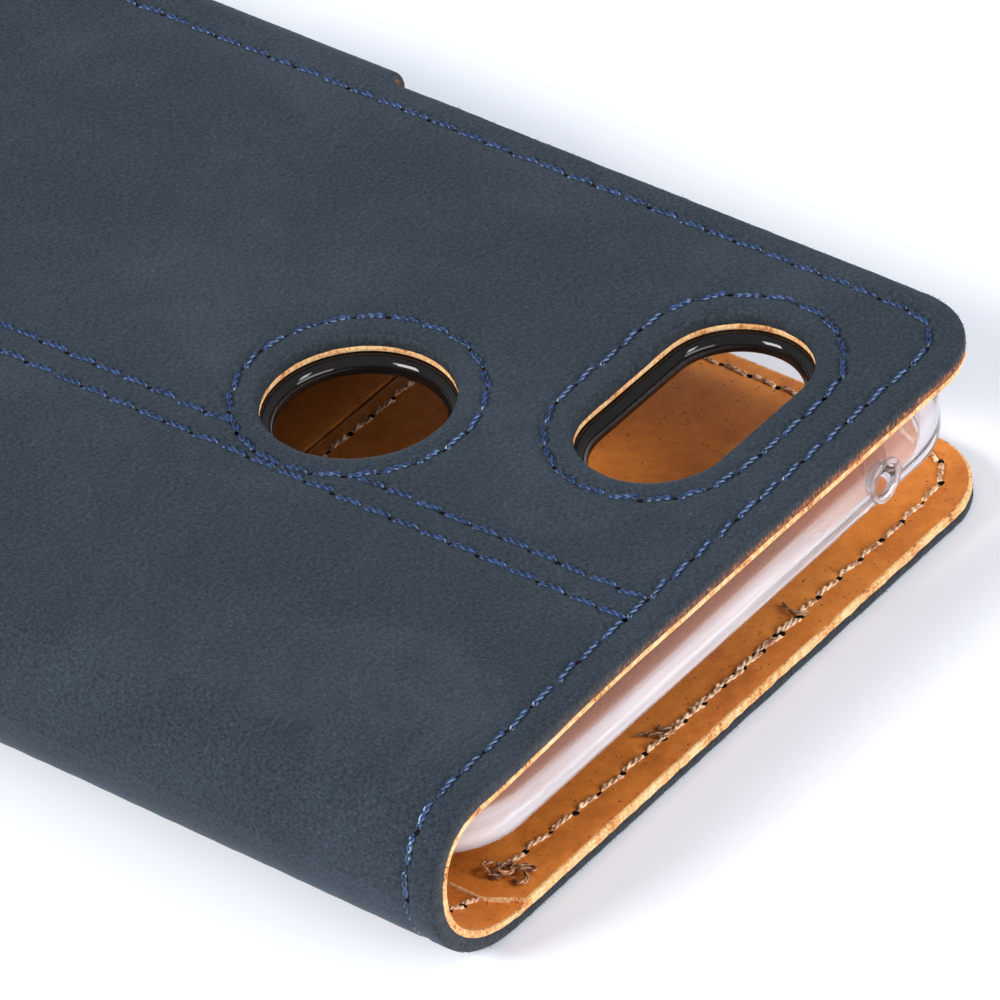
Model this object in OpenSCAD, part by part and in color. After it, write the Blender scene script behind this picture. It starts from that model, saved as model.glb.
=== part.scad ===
// Book-style leather wallet case for a phone, closed, back panel up.
// X runs from the spine to the free edge, Y along the fold, Z up from the table.

/* [Case] */
// Length of the closed case, along the fold
case_length = 152.6; // [151.6:0.2:156]
// Width of the back panel, from the spine's outer face to the free edge
back_width = 79.1; // [79.1:0.1:81]
// Thickness of the closed case
case_height = 17.5; // [17.5:0.1:18.5]
// Corner radius of the panels
corner_r = 7.5; // [6:0.5:9]

/* [Leather] */
// Thickness of the outer hide
hide_t = 1.2; // [1.1:0.1:1.3]
// Thickness of the lining on the back panel and the spine
lining_t = 0.8; // [0.6:0.1:0.8]
// Thickness of one pocket layer on the cover
pocket_t = 0.5; // [0.4:0.1:0.5]
// Mean radius of the leather where it bends round the spine
spine_bend_r = 5.75; // [5:0.25:6]

/* [Phone] */
// Length of the phone that the tray holds
phone_length = 145.6; // [144:0.1:147]
// Width of the phone
phone_width = 68.2; // [66:0.1:68.8]
// Thickness of the phone
phone_t = 7.9; // [7.6:0.1:8.2]
// Corner radius of the phone
phone_corner_r = 6.2; // [6:0.1:7]
// Distance from the spine's outer face to the middle of the phone
phone_offset = 41.7; // [41.4:0.1:42]

/* [Tray] */
// Thickness of the tray's wall
tray_wall = 1.8; // [1.4:0.1:1.8]
// Thickness of the tray's back
tray_back = 1.5; // [1.2:0.1:1.5]
// Share of the phone's thickness that the tray's wall covers
wall_share = 0.86; // [0.84:0.01:0.88]

/* [Openings] */
// Radius of the fingerprint opening in the hide
finger_r = 8.5; // [8:0.1:8.6]
// Half the distance between the two arc centres of the camera opening
camera_half = 5.57; // [5:0.01:6]
// Radius of the camera opening's ends
camera_r = 6.93; // [6:0.01:7]
// How much smaller the tray's openings are, all round
tray_step = 1.1; // [0.8:0.1:1.2]

/* [Strap] */
// Width of the closure strap
strap_width = 32; // [28:1:34]
// Length of the strap's flat tab
tab_length = 22; // [18:1:24]
// How far the strap stands out past the free edge
strap_proud = 1.6; // [1.6:0.1:1.8]
// Middle of the strap, along the case
strap_y = 6.2; // [4:0.1:8]

/* [Stitching] */
// Width of a row of thread
thread_w = 0.5; // [0.4:0.1:0.6]
// How far the thread stands out of the leather
thread_h = 0.15; // [0.1:0.05:0.2]
// Distance from the hide's edge to the edge row
edge_inset = 2.6; // [2.4:0.1:3]
// Distance from an opening's edge to the row round it
ring_inset = 2.5; // [2.4:0.1:2.8]

/* [Hidden] */
$fn = 96;
// how far a cut runs into or past what it cuts
eps = 0.01;
// a length across the whole case
across = 60;

// plan
x_spine = -(back_width + strap_proud - thread_h) / 2;
x_free = x_spine + back_width;
x_strap = x_free + strap_proud;
y_half = case_length / 2;
phone_x = x_spine + phone_offset;

// levels
wrap_t = hide_t + lining_t;
z_back = case_height - hide_t;
z_back_lining = z_back - lining_t;
glue_t = 0.2;
z_tray_top = z_back_lining - glue_t;
z_cavity_top = z_tray_top - tray_back;
z_lip = z_cavity_top - wall_share * phone_t;

// spine: two quarter bends with a short flat wall between them
bend_out = spine_bend_r + wrap_t / 2;
bend_mid = bend_out - hide_t;
bend_in = bend_out - wrap_t;
x_bend = x_spine + bend_out;
z_upper_bend = case_height - bend_out;
z_lower_bend = bend_out;

// stand fold: a narrow strip of leather between two rows of thread
fold_to_phone = 10.15;
fold_x = phone_x - fold_to_phone;
fold_half = 1.1;
fold_row = 1.45;

// openings
finger_x = phone_x;
finger_y = -36.3;
camera_x = phone_x + 15.2;
camera_y = -60.5;

// front cover
cover_hide_t = 1.1;
cover_lining_t = 0.4;
z_cover = cover_hide_t + cover_lining_t;
x_pocket = phone_x - 31;
slot_y = [-23.7, -9.7, 4.3];
slit = 0.3;
pocket_inset = 5.2;

// strap: hide outside, lining inside, bent down round the free edge and tucked in
strap_hide_t = 1.1;
strap_lining_t = 0.5;
strap_t = strap_hide_t + strap_lining_t;
root_r = 2.2;
x_root = x_strap - root_r;
z_root = case_height - root_r;
z_tab = 3.5;
tuck_r = 3.3;
x_tuck = x_strap - tuck_r;
z_tuck = z_tab + tuck_r;
x_tab_end = x_tuck - tab_length;
magnet_w = 9;
magnet_l = 20;
magnet_t = 0.6;
x_magnet = x_tab_end + 9;

navy = "#3b444e";
tan_leather = "#c06f2c";
clear_tpu = "#dfe6ea";
navy_thread = "#26407c";
cream_thread = "#d9b48a";
steel = "silver";
glue = "#e8e4d8";

// ---- outlines ----

// A panel from x0 to x1 with its two corners at x1 rounded
module panel_outline(x0, x1, half_length, r) {
    translate([x0, -half_length]) square([x1 - r - x0, 2 * half_length]);
    translate([x0, -half_length + r]) square([x1 - x0, 2 * (half_length - r)]);
    for (side = [-1, 1])
        translate([x1 - r, side * (half_length - r)]) circle(r);
}

// The same panel pulled in from every side but x0
module inset_panel(x0, x1, inset) {
    panel_outline(x0, x1 - inset, y_half - inset, corner_r - inset);
}

// A line of thread that follows three sides of a panel
module edge_row(x0, x1, inset) {
    difference() {
        inset_panel(x0, x1, inset);
        translate([-eps, 0]) inset_panel(x0, x1, inset + thread_w);
    }
}

module rounded_box(width, length, r) {
    square([width - 2 * r, length], center = true);
    square([width, length - 2 * r], center = true);
    for (side_x = [-1, 1])
        for (side_y = [-1, 1])
            translate([side_x * (width / 2 - r), side_y * (length / 2 - r)]) circle(r);
}

module finger_outline(grow) {
    translate([finger_x, finger_y]) circle(finger_r + grow);
}

module camera_outline(grow) {
    translate([camera_x, camera_y]) {
        square([2 * camera_half, 2 * (camera_r + grow)], center = true);
        for (side = [-1, 1])
            translate([side * camera_half, 0]) circle(camera_r + grow);
    }
}

module strap_band(x0, x1) {
    translate([x0, strap_y - strap_width / 2]) square([x1 - x0, strap_width]);
}

module layer(z0, thickness) {
    translate([0, 0, z0]) linear_extrude(thickness) children();
}

// A quarter of a tube along Y. The quarter lies on side_x, side_z of its centre.
module bend(cx, cz, r_in, r_out, side_x, side_z, length, y_mid = 0) {
    translate([cx, y_mid, cz]) rotate([90, 0, 0]) linear_extrude(length, center = true)
        intersection() {
            difference() {
                circle(r_out);
                circle(r_in);
            }
            translate([side_x > 0 ? 0 : -r_out - 1, side_z > 0 ? 0 : -r_out - 1])
                square(r_out + 1);
        }
}

// ---- front cover ----

module cover_hide() {
    color(navy) difference() {
        layer(0, cover_hide_t) panel_outline(x_bend, x_free, y_half, corner_r);
        magnet_block(cover_hide_t - magnet_t);
    }
}

module cover_lining() {
    color(tan_leather) layer(cover_hide_t, cover_lining_t)
        panel_outline(x_bend, x_free, y_half, corner_r);
}

module magnet_block(z0) {
    translate([x_magnet - magnet_w / 2, strap_y - magnet_l / 2, z0])
        cube([magnet_w, magnet_l, magnet_t]);
}

module cover_magnet() {
    color(steel) magnet_block(cover_hide_t - magnet_t);
}

// The stretch of a cover layer between y0 and y1
module cover_stretch(x0, inset, y0, y1) {
    intersection() {
        panel_outline(x0, x_free - inset, y_half, corner_r);
        translate([-across, y0]) square([2 * across, y1 - y0]);
    }
}

module cover_top_panel() {
    color(tan_leather) layer(z_cover, pocket_t)
        cover_stretch(x_pocket, 0, -y_half, slot_y[0] - slit);
}

module card_pocket(index) {
    inset = index == 0 ? 0 : pocket_inset;
    x0 = index == 0 ? x_pocket : x_pocket + pocket_inset;
    y1 = index == 0 ? y_half : y_half - pocket_inset;
    color(tan_leather) layer(z_cover + index * pocket_t, pocket_t)
        cover_stretch(x0, inset, slot_y[index], y1);
}

module card_pocket_1() { card_pocket(0); }

module card_pocket_2() { card_pocket(1); }

module card_pocket_3() { card_pocket(2); }

module cover_edge_thread() {
    color(cream_thread) layer(z_cover + pocket_t, thread_h) edge_row(x_pocket + 1, x_free, edge_inset);
}

// One row across the cover over the first card slot
module pocket_thread() {
    row_gap = 1.6;
    color(cream_thread) layer(z_cover + pocket_t, thread_h)
        translate([x_pocket + pocket_inset, slot_y[0] - row_gap - thread_w])
            square([x_free - x_pocket - 2 * pocket_inset, thread_w]);
}

// ---- spine ----

module spine_slab(x0, thickness) {
    translate([x0, -y_half, z_lower_bend]) cube([thickness, case_length, z_upper_bend - z_lower_bend]);
}

module spine_hide() { color(navy) spine_slab(x_spine, hide_t); }

module spine_lining() { color(tan_leather) spine_slab(x_spine + hide_t, lining_t); }

module spine_thread() {
    color(navy_thread)
        for (side = [-1, 1])
            translate([x_spine - thread_h, side * (y_half - edge_inset) - thread_w / 2, z_lower_bend])
                cube([thread_h, thread_w, z_upper_bend - z_lower_bend]);
}

module lower_bend_hide() {
    color(navy) bend(x_bend, z_lower_bend, bend_mid, bend_out, -1, -1, case_length);
}

module lower_bend_lining() {
    color(tan_leather) bend(x_bend, z_lower_bend, bend_in, bend_mid, -1, -1, case_length);
}

module upper_bend_hide() {
    color(navy) bend(x_bend, z_upper_bend, bend_mid, bend_out, -1, 1, case_length);
}

module upper_bend_lining() {
    color(tan_leather) bend(x_bend, z_upper_bend, bend_in, bend_mid, -1, 1, case_length);
}

// ---- back panel, between the spine and the stand fold ----

module hinge_side_outline() {
    translate([x_bend, -y_half]) square([fold_x - fold_half - x_bend, case_length]);
}

module back_hinge_hide() { color(navy) layer(z_back, hide_t) hinge_side_outline(); }

module back_hinge_lining() { color(tan_leather) layer(z_back_lining, lining_t) hinge_side_outline(); }

module back_hinge_edge_thread() {
    color(navy_thread)
        for (side = [-1, 1])
            translate([x_bend, side * (y_half - edge_inset) - thread_w / 2, case_height])
                cube([fold_x - fold_half - x_bend, thread_w, thread_h]);
}

module stand_row(x0) {
    clear = edge_inset + thread_w;
    translate([x0 - thread_w / 2, -y_half + clear, case_height])
        cube([thread_w, case_length - 2 * clear, thread_h]);
}

module stand_row_hinge_side() { color(navy_thread) stand_row(fold_x - fold_row); }

module fold_strip(z0, thickness) {
    translate([fold_x - fold_half, -y_half, z0]) cube([2 * fold_half, case_length, thickness]);
}

module stand_fold_hide() { color(navy) fold_strip(z_back, hide_t); }

module stand_fold_lining() { color(tan_leather) fold_strip(z_back_lining, lining_t); }

// ---- back panel, from the stand fold to the free edge ----

module free_side_outline() {
    difference() {
        panel_outline(fold_x + fold_half, x_free, y_half, corner_r);
        finger_outline(0);
        camera_outline(0);
        strap_band(x_root, x_free + 1);
    }
}

module back_hide() { color(navy) layer(z_back, hide_t) free_side_outline(); }

module back_lining() { color(tan_leather) layer(z_back_lining, lining_t) free_side_outline(); }

module back_edge_thread() {
    color(navy_thread) layer(case_height, thread_h)
        edge_row(fold_x + fold_half, x_free, edge_inset);
}

module stand_row_free_side() {
    color(navy_thread) difference() {
        stand_row(fold_x + fold_row);
        layer(case_height - 1, 2) finger_outline(ring_inset + thread_w);
    }
}

module fingerprint_thread() {
    color(navy_thread) layer(case_height, thread_h) difference() {
        finger_outline(ring_inset + thread_w / 2);
        finger_outline(ring_inset - thread_w / 2);
        translate([fold_x + fold_half - across, -y_half]) square([across, case_length]);
    }
}

module camera_thread() {
    color(navy_thread) layer(case_height, thread_h) difference() {
        camera_outline(ring_inset + thread_w / 2);
        camera_outline(ring_inset - thread_w / 2);
    }
}

// ---- phone tray ----

module tray_adhesive() {
    margin = 3;
    color(glue) layer(z_tray_top, glue_t) difference() {
        intersection() {
            translate([phone_x, 0]) rounded_box(phone_width - margin, phone_length - margin, phone_corner_r);
            translate([fold_x + fold_half, -y_half]) square([across, case_length]);
        }
        finger_outline(margin);
        camera_outline(margin);
    }
}

module tray_block(grow, z0, z1) {
    translate([phone_x, 0, z0]) linear_extrude(z1 - z0)
        rounded_box(phone_width + 2 * grow, phone_length + 2 * grow, phone_corner_r + grow);
}

module tray_ports() {
    mic_r = 1.5;
    mic_z = 9.5;
    port_half = 4.2;
    port_r = 2.2;
    port_z = 9.9;
    grille_r = 0.9;
    grille_pitch = 3.2;
    translate([phone_x + 22.4, -phone_length / 2, mic_z]) rotate([90, 0, 0])
        cylinder(h = 10, r = mic_r, center = true);
    for (side = [-1, 1])
        translate([phone_x + side * port_half, phone_length / 2, port_z]) rotate([90, 0, 0])
            cylinder(h = 10, r = port_r, center = true);
    translate([phone_x - port_half, phone_length / 2 - 5, port_z - port_r])
        cube([2 * port_half, 10, 2 * port_r]);
    for (side = [-1, 1])
        for (index = [0 : 2])
            translate([phone_x + side * (12 + index * grille_pitch), phone_length / 2, port_z])
                rotate([90, 0, 0]) cylinder(h = 10, r = grille_r, center = true);
}

// Raised pads in the free wall over the phone's side keys
module key_pad(y0, length) {
    pad_proud = 0.4;
    pad_z = 8.4;
    pad_h = 2.4;
    translate([phone_x + phone_width / 2 + tray_wall - eps, y0, pad_z])
        cube([pad_proud + eps, length, pad_h]);
}

module phone_tray() {
    hook_in = 0.3;
    hook_h = 0.6;
    color(clear_tpu, 0.5) {
        difference() {
            tray_block(tray_wall, z_lip, z_tray_top);
            tray_block(0, z_lip + hook_h, z_cavity_top);
            tray_block(-hook_in, z_lip - 1, z_cavity_top - 1);
            tray_ports();
            layer(z_cavity_top - 1, tray_back + 2) {
                finger_outline(-tray_step);
                camera_outline(-tray_step);
            }
        }
        key_pad(-26, 10);
        key_pad(-9, 20);
    }
}

// ---- closure strap ----

module strap_root_hide() {
    color(navy) bend(x_root, z_root, root_r - strap_t, root_r, 1, 1, strap_width, strap_y);
}

module strap_slab(x0, thickness) {
    translate([x0, strap_y - strap_width / 2, z_tuck]) cube([thickness, strap_width, z_root - z_tuck]);
}

module strap_hide() { color(navy) strap_slab(x_strap - strap_hide_t, strap_hide_t); }

module strap_lining() { color(tan_leather) strap_slab(x_strap - strap_t, strap_lining_t); }

module strap_tuck_hide() {
    color(navy) bend(x_tuck, z_tuck, tuck_r - strap_t, tuck_r, 1, -1, strap_width, strap_y);
}

module tab_outline(inset) {
    tab_r = 9 - inset;
    half = strap_width / 2 - inset;
    x0 = x_tab_end + inset;
    translate([x0 + tab_r, strap_y - half]) square([x_tuck - x0 - tab_r, 2 * half]);
    translate([x0, strap_y - half + tab_r]) square([x_tuck - x0, 2 * (half - tab_r)]);
    for (side = [-1, 1])
        translate([x0 + tab_r, strap_y + side * (half - tab_r)]) circle(tab_r);
}

module tab_hide() {
    color(navy) difference() {
        layer(z_tab, strap_hide_t) tab_outline(0);
        magnet_block(z_tab + strap_hide_t - magnet_t);
    }
}

module tab_lining() { color(tan_leather) layer(z_tab + strap_hide_t, strap_lining_t) tab_outline(0); }

module tab_magnet() { color(steel) magnet_block(z_tab + strap_hide_t - magnet_t); }

module tab_thread() {
    color(navy_thread) layer(z_tab - thread_h, thread_h) difference() {
        tab_outline(edge_inset);
        translate([eps, 0]) tab_outline(edge_inset + thread_w);
    }
}

cover_hide();
cover_lining();
cover_top_panel();
card_pocket_1();
card_pocket_2();
card_pocket_3();
cover_magnet();
cover_edge_thread();
pocket_thread();
spine_hide();
spine_lining();
spine_thread();
lower_bend_hide();
lower_bend_lining();
upper_bend_hide();
upper_bend_lining();
back_hinge_hide();
back_hinge_lining();
back_hinge_edge_thread();
stand_row_hinge_side();
stand_fold_hide();
stand_fold_lining();
back_hide();
back_lining();
back_edge_thread();
stand_row_free_side();
fingerprint_thread();
camera_thread();
tray_adhesive();
phone_tray();
strap_root_hide();
strap_hide();
strap_lining();
strap_tuck_hide();
tab_hide();
tab_lining();
tab_magnet();
tab_thread();
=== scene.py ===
import math

import bmesh
import bpy
import numpy as np
from mathutils import Matrix, Vector, geometry, noise


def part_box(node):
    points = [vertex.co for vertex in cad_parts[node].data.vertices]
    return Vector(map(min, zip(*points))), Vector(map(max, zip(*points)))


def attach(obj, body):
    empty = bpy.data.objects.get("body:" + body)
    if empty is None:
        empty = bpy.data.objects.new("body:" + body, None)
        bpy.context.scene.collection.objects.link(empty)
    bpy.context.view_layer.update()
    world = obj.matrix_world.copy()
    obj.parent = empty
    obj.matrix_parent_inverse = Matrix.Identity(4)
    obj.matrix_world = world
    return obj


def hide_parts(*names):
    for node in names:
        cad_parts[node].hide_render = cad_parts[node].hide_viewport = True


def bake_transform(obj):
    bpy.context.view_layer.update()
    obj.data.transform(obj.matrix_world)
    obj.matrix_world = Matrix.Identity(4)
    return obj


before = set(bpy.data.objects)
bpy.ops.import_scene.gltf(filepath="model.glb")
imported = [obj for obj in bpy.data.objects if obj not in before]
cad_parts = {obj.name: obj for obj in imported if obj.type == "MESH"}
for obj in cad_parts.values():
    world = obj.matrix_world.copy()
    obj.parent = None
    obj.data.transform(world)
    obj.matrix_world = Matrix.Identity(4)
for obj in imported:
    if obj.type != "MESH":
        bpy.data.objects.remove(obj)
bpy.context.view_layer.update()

MM = 0.001
TINY = 1e-6


# ---- measures of the frame, in millimetres ----

def box_mm(node):
    low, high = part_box(node)
    return np.array(low) / MM, np.array(high) / MM


def middle(node):
    low, high = box_mm(node)
    return (low + high) / 2


BACK_LOW, BACK_HIGH = box_mm("back_hide")
TOP = BACK_HIGH[2]
HIDE_T = TOP - BACK_LOW[2]
LINING_T = BACK_LOW[2] - box_mm("back_lining")[0][2]
Y_HALF = BACK_HIGH[1]
X_FREE = box_mm("cover_hide")[1][0]
X_SPINE = box_mm("spine_hide")[0][0]
X_STRAP = box_mm("strap_hide")[1][0]
CORNER_R = 7.5

COVER_HIDE_T = box_mm("cover_hide")[1][2]
COVER_LINING_T = box_mm("cover_lining")[1][2] - COVER_HIDE_T
PANEL_LOW, PANEL_HIGH = box_mm("cover_top_panel")

THREAD_W = box_mm("stand_row_hinge_side")[1][0] - box_mm("stand_row_hinge_side")[0][0]
X_HINGE_ROW = middle("stand_row_hinge_side")[0]
X_FREE_ROW = middle("stand_row_free_side")[0]
FOLD_LOW, FOLD_HIGH = box_mm("stand_fold_hide")
EDGE_INSET = X_FREE - box_mm("back_edge_thread")[1][0] + THREAD_W / 2

RING_INSET = 2.5
FINGER_LOW, FINGER_HIGH = box_mm("fingerprint_thread")
RING_R = (FINGER_HIGH[1] - FINGER_LOW[1] - THREAD_W) / 2
FINGER_R = RING_R - RING_INSET
FINGER = np.array([FINGER_HIGH[0] - RING_R - THREAD_W / 2, (FINGER_LOW[1] + FINGER_HIGH[1]) / 2])
CAMERA_LOW, CAMERA_HIGH = box_mm("camera_thread")
PILL_R = (CAMERA_HIGH[1] - CAMERA_LOW[1] - THREAD_W) / 2 - RING_INSET
PILL = middle("camera_thread")[:2]
PILL_HALF = (CAMERA_HIGH[0] - CAMERA_LOW[0]) / 2 - PILL_R - RING_INSET - THREAD_W / 2

TRAY_LOW, TRAY_HIGH = box_mm("phone_tray")
STRAP_LOW, STRAP_HIGH = box_mm("strap_hide")
STRAP_Y = middle("strap_hide")[1]
STRAP_HALF = (STRAP_HIGH[1] - STRAP_LOW[1]) / 2
STRAP_HIDE_T = STRAP_HIGH[0] - STRAP_LOW[0]
STRAP_LINING_T = STRAP_LOW[0] - box_mm("strap_lining")[0][0]
TAB_LOW, TAB_HIGH = box_mm("tab_hide")


# ---- camera, light and floor ----

VIEW_PLACE = (-404.755, -405.75, 437.64)
VIEW_HEADING, VIEW_ELEVATION, VIEW_ROLL = 48.87, 38.26, 5.40
VIEW_LENS = 294.4
SENSOR_WIDTH = 36
WARM = (1, 0.985, 0.95)
COOL = (0.97, 0.985, 1)
FLOOR_HALF = 3.0
FLOOR_DROP = 0.00005


def make_camera():
    """A long lens a little over the spine's camera end, rolled by a few degrees."""
    heading, elevation, roll = (math.radians(a) for a in (VIEW_HEADING, VIEW_ELEVATION, VIEW_ROLL))
    forward = Vector((math.sin(heading) * math.cos(elevation), math.cos(heading) * math.cos(elevation),
                      -math.sin(elevation)))
    level = forward.cross(Vector((0, 0, 1))).normalized()
    upright = level.cross(forward)
    right = level * math.cos(roll) - upright * math.sin(roll)
    up = right.cross(forward)
    data = bpy.data.cameras.new("camera")
    data.lens = VIEW_LENS
    data.sensor_width = SENSOR_WIDTH
    data.clip_start, data.clip_end = 0.05, 20
    camera = bpy.data.objects.new("camera", data)
    turn = Matrix((right, up, -forward)).transposed().to_4x4()
    camera.matrix_world = Matrix.Translation(Vector(VIEW_PLACE) * MM) @ turn
    bpy.context.collection.objects.link(camera)
    bpy.context.scene.camera = camera


def area_light(name, place, target, size, power, colour):
    data = bpy.data.lights.new(name, "AREA")
    data.shape = "RECTANGLE"
    data.size, data.size_y = size
    data.energy = power
    data.color = colour
    light = bpy.data.objects.new(name, data)
    light.location = place
    light.rotation_mode = "QUATERNION"
    light.rotation_quaternion = (Vector(target) - Vector(place)).to_track_quat("-Z", "Y")
    bpy.context.collection.objects.link(light)


def make_lights():
    """A pale blue room, two warm softboxes and a low fill in front."""
    world = bpy.data.worlds.new("studio")
    world.use_nodes = True
    background = world.node_tree.nodes["Background"]
    background.inputs["Color"].default_value = (0.875, 0.935, 1.0, 1)
    background.inputs["Strength"].default_value = 0.56
    bpy.context.scene.world = world
    bpy.context.scene.view_settings.view_transform = "Standard"
    area_light("left_softbox", (-0.75, 0.33, 0.57), (0, 0, 0), (0.46, 0.34), 12.0, WARM)
    area_light("right_softbox", (0.28, -0.72, 0.63), (0, 0, 0), (0.20, 0.28), 2.8, WARM)
    area_light("front_fill", (0.05, -0.90, 0.26), (0, -0.05, 0), (0.80, 0.30), 5.0, COOL)


def make_floor():
    """Pale paper that glows a little, so that its shadows stay light."""
    mesh = bpy.data.meshes.new("floor")
    corners = [(x * FLOOR_HALF, y * FLOOR_HALF, 0) for x, y in ((-1, -1), (1, -1), (1, 1), (-1, 1))]
    mesh.from_pydata(corners, [], [(0, 1, 2, 3)])
    floor = bpy.data.objects.new("floor", mesh)
    bpy.context.collection.objects.link(floor)
    floor.location.z = -FLOOR_DROP
    paper = bpy.data.materials.new("white_paper")
    paper.use_nodes = True
    shader = paper.node_tree.nodes["Principled BSDF"]
    shader.inputs["Base Color"].default_value = (0.89, 0.905, 0.96, 1)
    shader.inputs["Roughness"].default_value = 0.8
    shader.inputs["Specular IOR Level"].default_value = 0.2
    shader.inputs["Emission Color"].default_value = (0.50, 0.70, 1.0, 1)
    shader.inputs["Emission Strength"].default_value = 0.03
    mesh.materials.append(paper)


# ---- materials ----

class Nodes:
    """Short hands for building one material's node tree."""

    def __init__(self, name, **constants):
        self.material = bpy.data.materials.new(name)
        self.material.use_nodes = True
        self.tree = self.material.node_tree
        self.shader = self.tree.nodes["Principled BSDF"]
        for socket, value in constants.items():
            self.shader.inputs[socket.replace("_", " ")].default_value = value

    def node(self, kind, inputs=None, **settings):
        made = self.tree.nodes.new(kind)
        for key, value in settings.items():
            setattr(made, key, value)
        for key, value in (inputs or {}).items():
            if isinstance(value, bpy.types.NodeSocket):
                self.tree.links.new(value, made.inputs[key])
            else:
                made.inputs[key].default_value = value
        return made

    def flat(self, stretch=(1, 1, 1)):
        """The point's place on the flat cut sheet, in millimetres."""
        place = self.node("ShaderNodeAttribute", attribute_name="flat")
        scaled = self.node("ShaderNodeVectorMath", {0: place.outputs["Vector"],
                                                    1: tuple(a / MM for a in stretch)}, operation="MULTIPLY")
        return scaled.outputs[0]

    def noise(self, where, size, detail=3.0, roughness=0.5, distortion=0.0):
        made = self.node("ShaderNodeTexNoise", {"Vector": where, "Scale": 1 / size, "Detail": detail,
                                                "Roughness": roughness, "Distortion": distortion})
        return made.outputs["Fac"]

    def dots(self, where, size, radius):
        """1 inside round dots about size apart, 0 outside."""
        cells = self.node("ShaderNodeTexVoronoi", {"Vector": where, "Scale": 1 / size})
        return self.spread(cells.outputs["Distance"], radius, radius * 0.5)

    def spread(self, value, low, high):
        """value mapped from low..high to 0..1 and kept there."""
        made = self.node("ShaderNodeMapRange", {"Value": value, "From Min": low, "From Max": high})
        return made.outputs["Result"]

    def maths(self, operation, a, b):
        made = self.node("ShaderNodeMath", {0: a, 1: b}, operation=operation)
        return made.outputs[0]

    def total(self, *parts):
        """The sum of (value, weight) pairs."""
        terms = [self.maths("MULTIPLY", value, weight) for value, weight in parts]
        found = terms[0]
        for term in terms[1:]:
            found = self.maths("ADD", found, term)
        return found

    def mix(self, share, a, b):
        made = self.node("ShaderNodeMix", data_type="RGBA")
        for socket, value in ((made.inputs["Factor"], share), (made.inputs[6], a), (made.inputs[7], b)):
            if isinstance(value, bpy.types.NodeSocket):
                self.tree.links.new(value, socket)
            else:
                socket.default_value = (*value, 1) if isinstance(value, tuple) else value
        return made.outputs[2]

    def ramp(self, value, *stops):
        made = self.node("ShaderNodeValToRGB", {"Fac": value})
        while len(made.color_ramp.elements) < len(stops):
            made.color_ramp.elements.new(0.5)
        for element, (place, colour) in zip(made.color_ramp.elements, stops):
            element.position = place
            element.color = (*colour, 1)
        return made.outputs["Color"]

    def bump(self, height, depth, strength):
        """depth in millimetres"""
        made = self.node("ShaderNodeBump", {"Height": height, "Strength": strength, "Distance": depth * MM})
        self.tree.links.new(made.outputs["Normal"], self.shader.inputs["Normal"])

    def link(self, output, socket):
        self.tree.links.new(output, self.shader.inputs[socket])


def nubuck_material():
    """Navy nubuck: a matt nap, rubbed lighter in soft patches, with a fine grain and a few pale fibres."""
    n = Nodes("navy_nubuck", Sheen_Weight=0.10, Sheen_Roughness=0.5, Sheen_Tint=(0.62, 0.74, 0.90, 1),
              Specular_IOR_Level=0.16)
    flat = n.flat()
    patches = n.noise(flat, 24, 4, 0.62, 0.7)
    blotches = n.noise(flat, 4, 4, 0.6, 0.4)
    grain = n.noise(flat, 0.42, 3, 0.75)
    nap = n.noise(n.flat((1, 0.5, 1)), 0.20, 2, 0.6)
    tone = n.total((patches, 0.62), (blotches, 0.24), (grain, 0.14))
    leather = n.ramp(tone, (0.41, (0.0105, 0.0170, 0.0265)), (0.50, (0.0175, 0.0260, 0.0375)),
                     (0.61, (0.0330, 0.0450, 0.0610)))
    fine = n.total((nap, 0.55), (grain, 0.45))
    speckled = n.mix(n.spread(fine, 0.38, 0.66), (0.004, 0.0070, 0.0120), (0.0440, 0.0580, 0.0740))
    mixed = n.mix(0.58, leather, speckled)
    fibres = n.maths("MULTIPLY", n.dots(flat, 0.7, 0.10), n.spread(blotches, 0.42, 0.60))
    n.link(n.mix(n.maths("MULTIPLY", fibres, 0.55), mixed, (0.150, 0.175, 0.200)), "Base Color")
    n.link(n.spread(blotches, -4.0, 1.1), "Roughness")
    n.bump(n.maths("ADD", grain, n.maths("MULTIPLY", nap, 0.8)), 0.060, 0.8)
    return n.material


def navy_edge_material():
    """The hide's cut edge: dark and fibrous, and red-brown next to the lining towards the free edge."""
    n = Nodes("navy_cut_edge", Specular_IOR_Level=0.12, Sheen_Weight=0.12)
    fibres = n.noise(n.flat((1, 1, 0.6)), 0.26, 4, 0.75)
    place = n.node("ShaderNodeSeparateXYZ", {0: n.flat()})
    deep = n.spread(n.maths("ADD", place.outputs[2], n.maths("MULTIPLY", fibres, 0.8)), 0.95, 1.45)
    bare = n.maths("MULTIPLY", deep, n.spread(place.outputs[0], -28, 12))
    dark = n.ramp(fibres, (0.30, (0.010, 0.012, 0.016)), (0.62, (0.038, 0.044, 0.054)),
                  (0.8, (0.09, 0.095, 0.10)))
    rust = n.ramp(fibres, (0.38, (0.030, 0.010, 0.005)), (0.52, (0.26, 0.065, 0.014)),
                  (0.66, (0.62, 0.24, 0.07)))
    n.link(n.mix(bare, dark, rust), "Base Color")
    n.link(n.spread(fibres, -1.5, 0.9), "Roughness")
    n.bump(fibres, 0.16, 1.0)
    return n.material


def hole_edge_material():
    """The hide's wall inside the two openings, burnished nearly as smooth as its face."""
    n = Nodes("navy_opening_edge", Specular_IOR_Level=0.14)
    fibres = n.noise(n.flat((1, 1, 0.7)), 0.30, 3, 0.7)
    n.link(n.ramp(fibres, (0.30, (0.012, 0.017, 0.024)), (0.70, (0.045, 0.055, 0.068))), "Base Color")
    n.link(n.spread(fibres, -3.0, 1.0), "Roughness")
    n.bump(fibres, 0.08, 0.9)
    return n.material


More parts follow.
